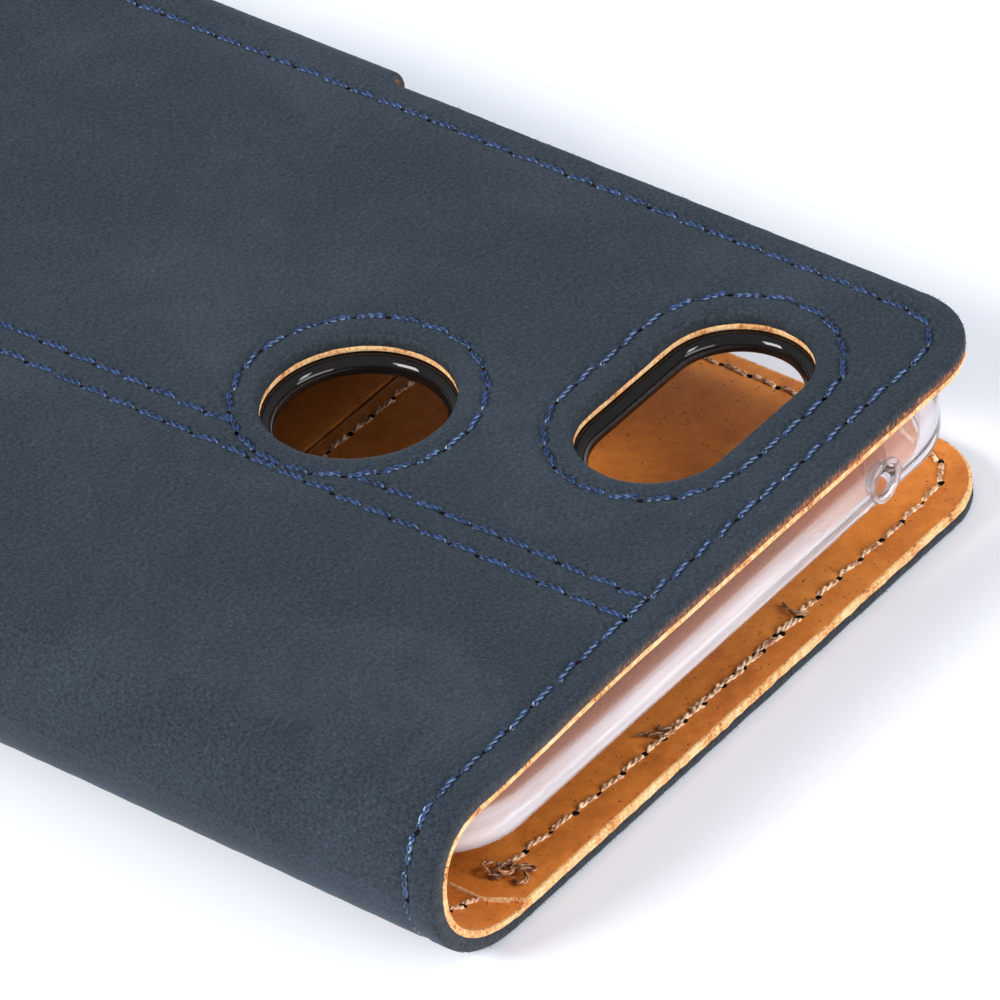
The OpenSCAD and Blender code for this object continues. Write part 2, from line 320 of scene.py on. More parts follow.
def tan_material():
    """Smooth cognac leather with pores, cloudy colour and dark specks."""
    n = Nodes("tan_leather", Specular_IOR_Level=0.38)
    flat = n.flat()
    clouds = n.noise(flat, 9, 4, 0.6, 0.6)
    mottle = n.noise(flat, 1.3, 4, 0.65)
    pores = n.noise(flat, 0.22, 2, 0.6)
    tone = n.total((clouds, 0.6), (mottle, 0.4))
    leather = n.ramp(tone, (0.34, (0.48, 0.130, 0.016)), (0.52, (0.66, 0.205, 0.030)),
                     (0.68, (0.78, 0.275, 0.048)))
    specks = n.maths("MULTIPLY", n.dots(flat, 1.2, 0.14), n.spread(n.noise(flat, 1.4, 3), 0.46, 0.55))
    freckles = n.maths("MULTIPLY", n.dots(flat, 0.6, 0.26), n.spread(n.noise(flat, 2.2, 3), 0.42, 0.58))
    specks = n.maths("MAXIMUM", specks, n.maths("MULTIPLY", freckles, 0.7))
    n.link(n.mix(n.maths("MULTIPLY", specks, 0.8), leather, (0.085, 0.020, 0.006)), "Base Color")
    n.link(n.spread(mottle, -1.1, 1.9), "Roughness")
    n.bump(n.maths("SUBTRACT", n.maths("MULTIPLY", pores, 0.5), specks), 0.05, 0.6)
    return n.material


def raw_edge_material():
    """The lining's cut edge: pale, fibrous suede."""
    n = Nodes("raw_tan_edge", Specular_IOR_Level=0.15, Sheen_Weight=0.3, Sheen_Tint=(1, 0.8, 0.6, 1))
    fibres = n.noise(n.flat((1, 1, 0.7)), 0.32, 4, 0.7)
    clouds = n.noise(n.flat(), 3.0, 3, 0.6)
    tone = n.total((fibres, 0.6), (clouds, 0.4))
    n.link(n.ramp(tone, (0.38, (0.30, 0.085, 0.020)), (0.45, (0.76, 0.34, 0.110)),
                  (0.58, (0.93, 0.64, 0.33))), "Base Color")
    n.link(n.spread(fibres, -1.5, 0.9), "Roughness")
    n.bump(fibres, 0.18, 1.0)
    return n.material


def thread_material(name, dark, light, shine, roughness):
    """Waxed twisted thread, its colour lighter and darker at random along the row: partly its own uneven
    colour, partly painted highlight and shade.
    """
    n = Nodes(name, Roughness=roughness, Specular_IOR_Level=0.9, Specular_Tint=(*shine, 1))
    tone_and_painted_light = n.noise(n.flat(), 0.55, 2, 0.6)
    n.link(n.ramp(tone_and_painted_light, (0.40, dark), (0.60, light)), "Base Color")
    n.bump(n.noise(n.flat(), 0.09, 2, 0.6), 0.02, 0.6)
    return n.material


def painted_hole_shade_material():
    """Near-black for the small discs at the needle holes: painted shade where the holes' recess is dark."""
    n = Nodes("painted_hole_shade", Roughness=0.95, Specular_IOR_Level=0.0)
    specks = n.noise(n.flat(), 0.3)
    n.link(n.ramp(specks, (0.3, (0.004, 0.004, 0.005)), (0.7, (0.016, 0.011, 0.009))), "Base Color")
    return n.material


def tpu_material(name, tint, clear, roughness, ior=1.47):
    """Soft moulded plastic with faint flow ripples. clear is how much of the light goes through."""
    n = Nodes(name, Transmission_Weight=clear, IOR=ior, Roughness=roughness)
    ripples = n.noise(n.flat((1, 0.3, 1)), 5, 2, 0.5)
    dull = tuple(0.93 * c for c in tint)
    n.link(n.ramp(ripples, (0.3, dull), (0.7, tint)), "Base Color")
    n.bump(ripples, 0.12, 0.25)
    return n.material


def wall_material():
    """The tray's wall, whose plastic is clear: painted brown close under the leather, for the shade there and
    the tan seen through, a painted white reflection, streaked, half way down, and clear by the free edge."""
    n = Nodes("tpu_wall_painted_shade_and_reflection", IOR=1.28, Roughness=0.05)
    streaks = n.noise(n.flat((0.05, 0.05, 0.9)), 1.6, 2, 0.5)
    place = n.node("ShaderNodeSeparateXYZ", {0: n.flat()})
    across = place.outputs[0]
    depth = n.maths("ADD", place.outputs[2], n.maths("MULTIPLY", streaks, 1.2))
    # painted reflection: a whiter, less clear band half way down the wall, streaked, that fades towards the
    # free edge
    painted_reflection_band = n.maths("MULTIPLY", n.spread(depth, 3.7, 4.5), n.spread(depth, 9.0, 8.0))
    painted_reflection_band = n.maths("MULTIPLY", painted_reflection_band, n.spread(across, 30, 4))
    painted_reflection = n.maths("MULTIPLY", painted_reflection_band, n.spread(streaks, 0.1, 0.7))
    # painted shade: brown, less clear, close under the leather and away from the free edge
    under = n.maths("MULTIPLY", n.spread(depth, 5.0, 4.0), n.spread(across, 34, 20))
    n.link(n.mix(under, (0.94, 0.88, 0.90), (0.44, 0.21, 0.135)), "Base Color")
    painted_share = n.maths("ADD", painted_reflection, n.maths("MULTIPLY", under, 0.30))
    n.link(n.spread(painted_share, 1.94, -0.146), "Transmission Weight")
    n.bump(n.noise(n.flat((1, 0.3, 1)), 5, 2, 0.5), 0.25, 0.30)
    return n.material


# ---- outlines: points on the flat sheet, each with the direction that leads into the sheet ----

STEP = 0.7
HOLE_STEP = 0.5
ROW_STEP = 0.4


def line(start, end, inward):
    """Points from start up to but not at end."""
    start, end = np.array(start, float), np.array(end, float)
    count = max(1, round(float(np.linalg.norm(end - start)) / STEP))
    share = np.arange(count)[:, None] / count
    return np.hstack([start + share * (end - start), np.tile(np.array(inward, float), (count, 1))])


def arc(centre, radius, start, end, inward_sign=-1, step=STEP):
    """Points of an arc from angle start up to but not at end, in degrees. The sheet is inside it if the sign
    is -1."""
    count = max(4, round(abs(math.radians(end - start)) * radius / step))
    angle = np.radians(start + (end - start) * np.arange(count) / count)
    ray = np.stack([np.cos(angle), np.sin(angle)], 1)
    return np.hstack([np.array(centre) + radius * ray, inward_sign * ray])


def round_hole(centre, radius, step=HOLE_STEP):
    return arc(centre, radius, 0, 360, 1, step)


def pill_hole(centre, half, radius):
    """Two half circles that far each side of the centre, and the straight lines between them."""
    cx, cy = centre
    return np.vstack([
        arc((cx + half, cy), radius, -90, 90, 1, HOLE_STEP),
        line((cx + half, cy + radius), (cx - half, cy + radius), (0, 1)),
        arc((cx - half, cy), radius, 90, 270, 1, HOLE_STEP),
        line((cx - half, cy - radius), (cx + half, cy - radius), (0, -1))])


def panel(x0, x1, y0, y1, radii=(0, 0, 0, 0), seams=()):
    """A rectangle whose corners, from (x0, y0) anticlockwise, have those radii. A side named in seams, of
    low_x, high_x, low_y and high_y, is cut square, because the next piece carries on from it."""
    corners = [(x0, y0), (x1, y0), (x1, y1), (x0, y1)]
    sides = [("low_y", (0, 1)), ("high_x", (-1, 0)), ("high_y", (0, -1)), ("low_x", (1, 0))]
    leads = [np.array((0, 0) if side in seams else inward, float) for side, inward in sides]
    along = [(1, 0), (0, 1), (-1, 0), (0, -1)]
    parts = []
    for i, (corner, (_, inward), way) in enumerate(zip(corners, sides, along)):
        r0, r1 = radii[i], radii[(i + 1) % 4]
        corner, way = np.array(corner, float), np.array(way, float)
        if r0:
            angle = 180 + 90 * i
            parts.append(arc(corner + r0 * (way + np.array(inward, float)), r0, angle, angle + 90))
        straight = line(corner + r0 * way, np.array(corners[(i + 1) % 4], float) - r1 * way, leads[i])
        if not r0:
            straight[0, 2:] = leads[i] + leads[i - 1]
        parts.append(straight)
    return np.vstack(parts)


def inside(points, loops):
    """Whether each point is inside the first loop and outside the others."""
    x, y = points[:, 0][:, None], points[:, 1][:, None]
    crossings = np.zeros(len(points), int)
    for loop in loops:
        ax, ay = loop[:, 0], loop[:, 1]
        bx, by = np.roll(ax, -1), np.roll(ay, -1)
        spans = (ay > y) != (by > y)
        with np.errstate(divide="ignore", invalid="ignore"):
            at = ax + (y - ay) / (by - ay) * (bx - ax)
        crossings += (spans & (x < at)).sum(1)
    return crossings % 2 == 1


def nearest(points, others):
    """Each point's distance from the nearest of the others."""
    found = np.full(len(points), 1e9)
    for start in range(0, len(points), 2000):
        some = points[start:start + 2000]
        gap = some[:, None, :] - others[None, :, :]
        found[start:start + 2000] = np.sqrt((gap ** 2).sum(2).min(1))
    return found


SPOT_CELL = 0.28
RIM_CLEAR = 0.3


def thin_out(extra, rims):
    """The extra points that lie clear of the rims, and only the first of those in each small cell."""
    kept, taken = [], set()
    for point in extra[nearest(extra, rims) > RIM_CLEAR]:
        cell = (round(point[0] / SPOT_CELL), round(point[1] / SPOT_CELL))
        if cell not in taken:
            taken.add(cell)
            kept.append(point)
    return np.array(kept)


def triangulate(loops, spacing, extra):
    """Plan points, the loops' first, and triangles that fill the first loop round the others."""
    low, high = loops[0].min(0), loops[0].max(0)
    rows = np.arange(low[1], high[1], spacing * 0.87)
    grid = np.array([(x + (i % 2) * spacing / 2, y) for i, y in enumerate(rows)
                     for x in np.arange(low[0], high[0], spacing)])
    rims = np.vstack(loops)
    if len(extra):
        extra = thin_out(extra[inside(extra, loops)], rims)
    if len(extra):
        grid = grid[nearest(grid, extra) > 0.6 * spacing]
    grid = grid[inside(grid, loops)]
    grid = grid[nearest(grid, rims) > 0.55 * spacing]
    points = np.vstack([rims, extra, grid] if len(extra) else [rims, grid])
    edges, first = [], 0
    for loop in loops:
        count = len(loop)
        edges += [(first + i, first + (i + 1) % count) for i in range(count)]
        first += count
    _, _, faces, origin, _, _ = geometry.delaunay_2d_cdt([Vector(p) for p in points], edges, [], 0, TINY)
    index = [o[0] if o else -1 for o in origin]
    faces = np.array([[index[i] for i in face] for face in faces if all(index[j] >= 0 for j in face)])
    centres = points[faces].mean(1)
    return points, faces[inside(centres, loops)]


# ---- reliefs: the height of a sheet's face at points of its plan ----

def wobble(points, size, seed):
    """Smooth noise from -1 to 1 over the flat sheet, with features about size apart."""
    return np.array([noise.noise(Vector((x / size, y / size, seed))) for x, y in points[:, :2]])


def level_face(points):
    return np.zeros(len(points))


def swollen(seed, swell):
    """A relief: the leather's own slow unevenness."""
    def relief(points):
        return swell * wobble(points, 17, seed) + 0.4 * swell * wobble(points, 5, seed + 2)
    return relief


# ---- sheets and solids ----

def leather_rim(thickness):
    """(inset, depth) pairs down the cut edge of a thick sheet, its upper corner well rounded."""
    return [(0.9, 0.0), (0.35, 0.03), (0.12, 0.12), (0.0, 0.30), (0.0, thickness - 0.1), (0.08, thickness)]


def thin_rim(thickness):
    return [(0.3, 0.0), (0.1, 0.04), (0.0, 0.5 * thickness), (0.06, thickness)]


class Solid:
    """Collects vertices in flat coordinates (s, y, depth) and faces with a material number."""

    def __init__(self):
        self.points, self.faces, self.slots, self.count = [], [], [], 0

    def add(self, points, faces, slot=0):
        self.points.append(points)
        self.faces += [tuple(int(i) + self.count for i in face) for face in faces]
        self.slots += [slot] * len(faces)
        self.count += len(points)

    def build(self, name, place, materials, sharp=50.0):
        """One object, its points put in place and its faces turned outwards. sharp is an angle in degrees."""
        flat = np.vstack(self.points)
        mesh = bpy.data.meshes.new(name)
        mesh.from_pydata((place(flat) * MM).tolist(), [], self.faces)
        mesh.polygons.foreach_set("material_index", self.slots)
        mesh.polygons.foreach_set("use_smooth", [True] * len(self.faces))
        attribute = mesh.attributes.new("flat", "FLOAT_VECTOR", "POINT")
        attribute.data.foreach_set("vector", (flat * MM).astype(np.float32).ravel())
        for material in materials:
            mesh.materials.append(material)
        bm = bmesh.new()
        bm.from_mesh(mesh)
        bmesh.ops.recalc_face_normals(bm, faces=bm.faces)
        bm.to_mesh(mesh)
        bm.free()
        mesh.set_sharp_from_angle(angle=math.radians(sharp))
        made = bpy.data.objects.new(name, mesh)
        bpy.context.collection.objects.link(made)
        return made


FRAY_SIZES = (0.45, 1.7)
FIBRE_ROOT = 0.05


def sheet(name, loops, place, thickness, rims, materials, spacing, extra=(), relief=level_face, rough=0.0,
          skin_rings=2, seed=0.0, sharp=50.0, edge_slots=None, fuzz=0.0):
    """A closed sheet between depth 0 and its thickness. rims holds one list of (inset, depth) for each loop,
    or an array of them for each of the loop's points. Past skin_rings, a loop's edge takes its material of
    edge_slots. rough is how ragged the edge is, in mm, and fuzz is the number of fibres per mm of it."""
    profiles = []
    for loop, rim in zip(loops, rims):
        rim = np.array(rim, float)
        profiles.append(np.tile(rim, (len(loop), 1, 1)) if rim.ndim == 2 else rim)
    rings = [loop[:, :2] + loop[:, 2:] * rim[:, :1, 0] for loop, rim in zip(loops, profiles)]
    plan, triangles = triangulate(rings, spacing, np.array(extra))
    height = relief(plan)
    deep = thickness(plan) if callable(thickness) else np.full(len(plan), thickness)
    made = Solid()
    made.add(np.column_stack([plan, -height]), triangles)
    made.add(np.column_stack([plan, deep]), triangles[:, ::-1])
    first = 0
    edge_slots = edge_slots or [1] * len(loops)
    skins = [skin_rings] * len(loops) if isinstance(skin_rings, int) else skin_rings
    for loop, rim, edge_slot, skin in zip(loops, profiles, edge_slots, skins):
        count = len(loop)
        here = np.arange(count)
        then = (here + 1) % count
        full = rim[0, -1, 1]
        rise = height[first:first + count]
        squeeze = deep[first:first + count] / full if callable(thickness) else np.ones(count)
        fine_fray = wobble(loop, FRAY_SIZES[0], seed + 3.1)
        slow_fray = wobble(loop, FRAY_SIZES[1], seed + 7.7)
        frayed = rough * fine_fray + rough * 0.8 * slow_fray
        last = first + here
        for k in range(1, rim.shape[1] + 1):
            if k < rim.shape[1]:
                inset, depth = rim[:, k, 0], rim[:, k, 1]
                ragged = inset + np.where(depth > 0.1, frayed * (1 + 0.4 * (k % 2)), 0)
                sunk = depth * squeeze - rise * (depth < full * 0.6)
                ring = made.count + here
                made.points.append(np.column_stack([loop[:, :2] + loop[:, 2:] * ragged[:, None], sunk]))
                made.count += count
            else:
                ring = len(plan) + first + here
            quads = np.stack([last, last[then], ring[then], ring], 1)
            made.faces += [tuple(int(i) for i in quad) for quad in quads]
            made.slots += [0 if k <= skin else edge_slot] * count
            last = ring
        first += count
    if fuzz:
        add_fibres(made, loops[0], rims[0][-1][1], fuzz, round(100 * seed) + 7)
    piece = made.build(name, place, materials, sharp)
    return piece


def add_fibres(made, loop, thickness, per_mm, seed):
    """Short loose fibres that stand out of a cut edge, each a thin spike with a three-sided foot."""
    draw = np.random.default_rng(seed)
    free = np.flatnonzero(np.abs(loop[:, 2:]).sum(1) > 0.5)
    picked = draw.choice(free, int(len(free) * STEP * per_mm))
    ahead = np.roll(loop[:, :2], -1, axis=0) - loop[:, :2]
    for i in picked:
        inward, way = loop[i, 2:], ahead[i]
        root = loop[i, :2] + way * draw.uniform() + inward * FIBRE_ROOT
        depth = thickness * draw.uniform(0.08, 0.98)
        length, half = draw.uniform(0.06, 0.20), draw.uniform(0.015, 0.030)
        sideways = way / np.linalg.norm(way)
        tip = root - inward * (length + FIBRE_ROOT) + sideways * length * draw.normal() * 0.6
        points = np.array([[*(root + sideways * half), depth - half],
                           [*(root - sideways * half), depth - half],
                           [*root, depth + half],
                           [*tip, depth + length * draw.normal() * 0.45]])
        made.add(points, [(0, 1, 2), (0, 3, 1), (1, 3, 2), (2, 3, 0)], 1)


# ---- the paths that the sheets follow round the spine and the strap ----

PATH_STEP = 0.1
TURN_WINDOW = 9


def superellipse(centre, half_x, half_z, start, end, power):
    """Points of one quarter, from angle start to end in degrees."""
    angle = np.radians(np.linspace(start, end, 60))
    c, s = np.cos(angle), np.sin(angle)
    x = centre[0] + half_x * np.sign(c) * np.abs(c) ** (2 / power)
    z = centre[1] + half_z * np.sign(s) * np.abs(s) ** (2 / power)
    return np.stack([x, z], 1)


def distances(points):
    """How far along a line each of its points is."""
    return np.concatenate([[0], np.cumsum(np.linalg.norm(np.diff(points, axis=0), axis=1))])


class Path:
    """The outer face's line across the case, in XZ, and the distance s along it, known at one of its ends."""

    def __init__(self, points, s_end=None, s_start=None):
        points = np.array(points, float)
        keep = np.concatenate([[True], np.linalg.norm(np.diff(points, axis=0), axis=1) > TINY])
        points = points[keep]
        rough_s = distances(points)
        fine = np.arange(0, rough_s[-1], PATH_STEP)
        points = np.stack([np.interp(fine, rough_s, points[:, i]) for i in (0, 1)], 1)
        self.s = distances(points)
        self.s += (s_end - self.s[-1]) if s_end is not None else s_start
        tangent = np.gradient(points, axis=0)
        margin = TURN_WINDOW // 2
        kernel = np.ones(TURN_WINDOW) / TURN_WINDOW
        for i in (0, 1):
            tangent[margin:-margin, i] = np.convolve(tangent[:, i], kernel, "valid")
        tangent /= np.linalg.norm(tangent, axis=1)[:, None]
        self.x, self.z = points[:, 0], points[:, 1]
        self.nx, self.nz = -tangent[:, 1], tangent[:, 0]

    def place(self, flat):
        """Points in space from (s, y, depth) points. Past its ends the path goes straight on."""
        s, y, depth = flat[:, 0], flat[:, 1], flat[:, 2]
        over = np.where(s > self.s[-1], s - self.s[-1], np.where(s < self.s[0], s - self.s[0], 0))
        x, z, nx, nz = (np.interp(s, self.s, a) for a in (self.x, self.z, self.nx, self.nz))
        return np.stack([x + over * nz - nx * depth, y, z - over * nx - nz * depth], 1)


DIP = 0.8
Z_WIDEST = 9.0
X_UPPER = -33.0
X_LOWER = -30.0
LOWER_POWER, UPPER_POWER, ROOT_POWER = 2.05, 2.25, 2.4


def wrap_path():
    """From the cover's free edge, round the spine, to the back's free edge. The back dips by the spine."""
    lower = superellipse((X_LOWER, Z_WIDEST), X_LOWER - X_SPINE, Z_WIDEST, 270, 180, LOWER_POWER)
    upper = superellipse((X_UPPER, Z_WIDEST), X_UPPER - X_SPINE, TOP - DIP - Z_WIDEST, 180, 90, UPPER_POWER)
    across = np.linspace(X_UPPER, FOLD_LOW[0] - 2, 60)
    share = (across - across[0]) / (across[-1] - across[0])
    rise = TOP - DIP * (1 - share * share * (3 - 2 * share))
    dip = np.stack([across, rise], 1)
    return Path(np.vstack([[(X_FREE, 0), (X_LOWER, 0)], lower, upper, dip, [(X_FREE, TOP)]]), s_end=X_FREE)


STRAP_BULGE = 0.9


def strap_path():
    """From the back's free edge, a loose roll down past it, and in under the tray."""
    root_r = X_STRAP - X_FREE + STRAP_BULGE
    tuck_r = X_STRAP - box_mm("strap_tuck_hide")[0][0]
    z_tab = TAB_LOW[2]
    root = superellipse((X_FREE, TOP - root_r), root_r, root_r, 90, 0, ROOT_POWER)
    tuck = superellipse((X_STRAP - tuck_r, z_tab + tuck_r), tuck_r, tuck_r, 0, -90, 2)
    return Path(np.vstack([[(X_FREE - 1, TOP)], root, tuck, [(TAB_LOW[0] - 1, z_tab)]]), s_start=X_FREE - 1)


WRAP = wrap_path()
STRAP = strap_path()
S_MIDDLE = float(WRAP.s[np.argmin(WRAP.x)])
S_COVER_FREE = float(WRAP.s[0])
S_LOWER = float(np.interp(-X_LOWER, -WRAP.x[WRAP.s < S_MIDDLE], WRAP.s[WRAP.s < S_MIDDLE]))


def on_cover(x):
    """The s of a point on the flat of the cover."""
    return S_COVER_FREE + X_FREE - x


# ---- rows of stitches ----

PITCH = 3.05


def resample(points, pitch, closed=False):
    """Points a whole number of equal steps apart along a line, each step about a pitch."""
    points = np.array(points, float)
    if closed:
        points = np.vstack([points, points[:1]])
    s = distances(points)
    count = max(1, round(s[-1] / pitch))
    at = np.linspace(0, s[-1], count + 1)
    return np.stack([np.interp(at, s, points[:, i]) for i in (0, 1)], 1)


def corner_row(x0, x1, y0, y1, radius):
    """Along y0 from x0 to x1, round the corner, up x1, round the next corner and back to x0 along y1."""
    return np.vstack([
        [(x0, y0)], arc((x1 - radius, y0 + radius), radius, -90, 0, -1, ROW_STEP)[:, :2],
        arc((x1 - radius, y1 - radius), radius, 0, 90, -1, ROW_STEP)[:, :2], [(x1 - radius, y1), (x0, y1)]])


def ring_holes(centre, radius, start):
    """Needle holes round a circle, from an angle in degrees."""
    angle = np.radians(start) + np.linspace(0, 2 * math.pi, 145)
    circle = np.stack([centre[0] + radius * np.cos(angle), centre[1] + radius * np.sin(angle)], 1)
    return resample(circle, PITCH)


ROW_R = CORNER_R - EDGE_INSET
ROW_Y = Y_HALF - EDGE_INSET
EDGE_HOLES = resample(corner_row(X_HINGE_ROW, X_FREE - EDGE_INSET, -ROW_Y, ROW_Y, ROW_R), PITCH)
FINGER_HOLES = ring_holes(FINGER, RING_R, 150)
PILL_HOLES = resample(pill_hole(PILL, PILL_HALF, PILL_R + RING_INSET)[:, :2], PITCH, closed=True)
ring_reach = math.sqrt(RING_R ** 2 - (X_FREE_ROW - FINGER[0]) ** 2)
FREE_ROWS = [resample([(X_FREE_ROW, -ROW_Y), (X_FREE_ROW, FINGER[1] - ring_reach)], PITCH),
             resample([(X_FREE_ROW, FINGER[1] + ring_reach), (X_FREE_ROW, ROW_Y)], PITCH)]
HINGE_ROW = resample([(X_HINGE_ROW, -ROW_Y), (X_HINGE_ROW, ROW_Y)], PITCH)

GROOVE_STEP = 0.55
GROOVE_R, PIT_R = 0.6, 0.4
BESIDE_STEP = 0.7
BESIDE_OFFSETS = (-0.9, -0.45, 0, 0.45, 0.9)


def beside(rows):
    """Points on both sides of the rows, where a sheet's mesh has to be fine enough for the groove."""
    found = []
    for row in rows:
        fine = resample(row, BESIDE_STEP)
        way = np.gradient(fine, axis=0)
        way /= np.linalg.norm(way, axis=1)[:, None]
        across = np.stack([-way[:, 1], way[:, 0]], 1)
        found += [fine + across * offset for offset in BESIDE_OFFSETS]
    return np.vstack(found)


def grooved(rows, depth=0.13, seed=1.0, swell=0.07):
    """A swollen relief that the thread pulls in along each row, most of all at the needle holes."""
    along = np.vstack([resample(row, GROOVE_STEP) for row in rows])
    holes = np.vstack(rows)
    uneven = swollen(seed, swell)

    def relief(points):
        gap, hole_gap = nearest(points, along), nearest(points, holes)
        groove = depth * np.exp(-(gap / GROOVE_R) ** 2)
        return uneven(points) - groove - depth * np.exp(-(hole_gap / PIT_R) ** 2)
    return relief


TUBE_SIDES = 6


def tubes(centres, radii):
    """Tubes round many lines at once: centres is lines x rings x 3, radii is rings."""
    lines, rings, _ = centres.shape
    way = np.gradient(centres, axis=1)
    way /= np.linalg.norm(way, axis=2)[:, :, None] + 1e-9
    side = np.cross(way, np.array([0, 0, 1.0]))
    side /= np.linalg.norm(side, axis=2)[:, :, None] + 1e-9
    over = np.cross(side, way)
    angle = np.arange(TUBE_SIDES) * 2 * math.pi / TUBE_SIDES
    spots = (centres[:, :, None, :] + radii[None, :, None, None] * (
        np.cos(angle)[None, None, :, None] * side[:, :, None, :] +
        np.sin(angle)[None, None, :, None] * over[:, :, None, :]))
    faces = []
    for i in range(lines):
        base = i * rings * TUBE_SIDES
        for r in range(rings - 1):
            for k in range(TUBE_SIDES):
                a, b = base + r * TUBE_SIDES + k, base + r * TUBE_SIDES + (k + 1) % TUBE_SIDES
                faces.append((a, b, b + TUBE_SIDES, a + TUBE_SIDES))
        faces.append(tuple(base + k for k in reversed(range(TUBE_SIDES))))
        faces.append(tuple(base + (rings - 1) * TUBE_SIDES + k for k in range(TUBE_SIDES)))
    return spots.reshape(-1, 3), faces


PLIES = 2
PLY_R = 0.135
PLY_GAP = 0.135
STITCH_TURNS = 1.8
STITCH_RINGS = 21
STITCH_GAP = 0.16
STITCH_SLANT = 0.15
STITCH_SCATTER = 0.16
STITCH_SINK, STITCH_ARCH = 0.22, 0.33


def add_stitches(made, rows, relief, lift, seed):
    """Two twisted plies for each stitch, which dive into a needle hole at each end, marked by a near-black
    disc of painted shade.
    """
    draw = np.random.default_rng(seed)
    share = np.linspace(0, 1, STITCH_RINGS)
    radii = PLY_R * np.clip(np.sin(math.pi * share) * 3.2, 0.3, 1)
    arch = np.clip(np.sin(math.pi * share) * 1.9, 0, 1)
    for row in rows:
        start, end = row[:-1], row[1:]
        way = (end - start) / np.linalg.norm(end - start, axis=1)[:, None]
        across = np.stack([-way[:, 1], way[:, 0]], 1)
        jitter = draw.normal(0, STITCH_SCATTER, (len(start), 2))
        lean = STITCH_SLANT * (1 + 0.5 * draw.normal(size=(len(start), 1)))
        first = start + way * STITCH_GAP * 0.5 - across * lean
        last = end - way * STITCH_GAP * 0.5 + across * lean
        phase = draw.uniform(0, math.pi, (len(start), 1))
        spots = first[:, None, :] + share[None, :, None] * (last - first)[:, None, :]
        for ply in range(PLIES):
            turn = phase + share[None, :] * 2 * math.pi * STITCH_TURNS + ply * 2 * math.pi / PLIES
            spot = spots + PLY_GAP * np.cos(turn)[:, :, None] * across[:, None, :] + jitter[:, None, :1] * 0.3
            ground = relief(spot.reshape(-1, 2)).reshape(turn.shape)
            height = ground - STITCH_SINK + STITCH_ARCH * arch[None, :] + 0.6 * PLY_GAP * np.sin(turn)
            centres = np.concatenate([spot, -(height + lift)[:, :, None]], 2)
            made.add(*tubes(centres, radii))
        add_painted_hole_shades(made, row, relief, lift)


# the near-black disc at each needle hole, which is painted shade
HOLE_SIDES = 9
HOLE_R, HOLE_RISE = 0.34, 0.07
HOLE_FOOT_R, HOLE_SINK = 0.38, 0.12


def add_painted_hole_shades(made, holes, relief, lift):
    """Small near-black discs where the needle went through: painted shade for the dark pits of the holes."""
    angle = np.arange(HOLE_SIDES) * 2 * math.pi / HOLE_SIDES
    ray = np.stack([np.cos(angle), np.sin(angle)], 1)
    faces = [tuple(range(HOLE_SIDES)), tuple(range(2 * HOLE_SIDES - 1, HOLE_SIDES - 1, -1))]
    faces += [(k, HOLE_SIDES + k, HOLE_SIDES + (k + 1) % HOLE_SIDES, (k + 1) % HOLE_SIDES)
              for k in range(HOLE_SIDES)]
    for hole, height in zip(holes, relief(holes)):
        rings = [np.column_stack([hole + radius * ray, np.full(HOLE_SIDES, -(height + lift + rise))])
                 for radius, rise in ((HOLE_R, HOLE_RISE), (HOLE_FOOT_R, -HOLE_SINK))]
        made.add(np.vstack(rings), faces, 1)


CURVE_STEP = 0.12
LOOSE_TURNS_PER_MM = 0.45


def smooth_curve(points):
    """A Catmull-Rom curve through 3D points."""
    points = np.array(points, float)
    ends = np.vstack([2 * points[0] - points[1], points, 2 * points[-1] - points[-2]])
    found = []
    for a, b, c, d in zip(ends[:-3], ends[1:-2], ends[2:-1], ends[3:]):
        count = max(2, int(np.linalg.norm(c - b) / CURVE_STEP))
        t = (np.arange(count) / count)[:, None]
        square, cube = 2 * a - 5 * b + 4 * c - d, 3 * b - a - 3 * c + d
        found.append(0.5 * (2 * b + (c - a) * t + square * t ** 2 + cube * t ** 3))
    return np.vstack([*found, points[-1:]])


def add_loose_thread(made, points):
    """A twisted thread end through (s, y, height) points, a little thinner than a stitch."""
    centre = smooth_curve(points)
    centre[:, 2] *= -1
    way = np.gradient(centre, axis=0)
    way /= np.linalg.norm(way, axis=1)[:, None]
    side = np.cross(way, [0.1, 0.2, 1.0])
    side /= np.linalg.norm(side, axis=1)[:, None]
    over = np.cross(side, way)
    for ply in range(PLIES):
        turn = (distances(centre) * LOOSE_TURNS_PER_MM + ply / PLIES) * 2 * math.pi
        centres = centre + PLY_GAP * 0.9 * (np.cos(turn)[:, None] * side + np.sin(turn)[:, None] * over)
        made.add(*tubes(centres[None], np.full(len(centres), PLY_R * 0.85)))


# ---- the leather, outside and in ----

FRAY = 0.2
LAYER_GAP = 0.01
COVER_TAPER = (S_LOWER - 2, S_LOWER + 6)


def hide_depth(s):
    """The hide is a little thinner on the cover. On the back its frayed lower edge hides some of the
    lining's."""
    return np.interp(s, COVER_TAPER, (COVER_HIDE_T, HIDE_T + FRAY))


def lining_depth(s):
    return np.interp(s, COVER_TAPER, (COVER_LINING_T, LINING_T - FRAY))


def deeper(path, offset):
    """Places a sheet whose outer face lies offset below the path's."""
    def place(flat):
        return path.place(flat + np.array([0, 0, offset]))
    return place


def inner_face(level):
    """Places a sheet whose depth 0 is its inner face, at that level from the wrap's outer face."""
    def place(flat):
        at = level(flat[:, 0]) if callable(level) else level
        return WRAP.place(np.column_stack([flat[:, 0], flat[:, 1], at - flat[:, 2]]))
    return place


def lining_level(s):
    """How far the lining's inner face is from the wrap's outer face."""
    return hide_depth(s) + lining_depth(s) + LAYER_GAP


FILLET = 1.5
FILLET_STEP = 0.3
STRAP_FOOT = STRAP_HALF + FILLET


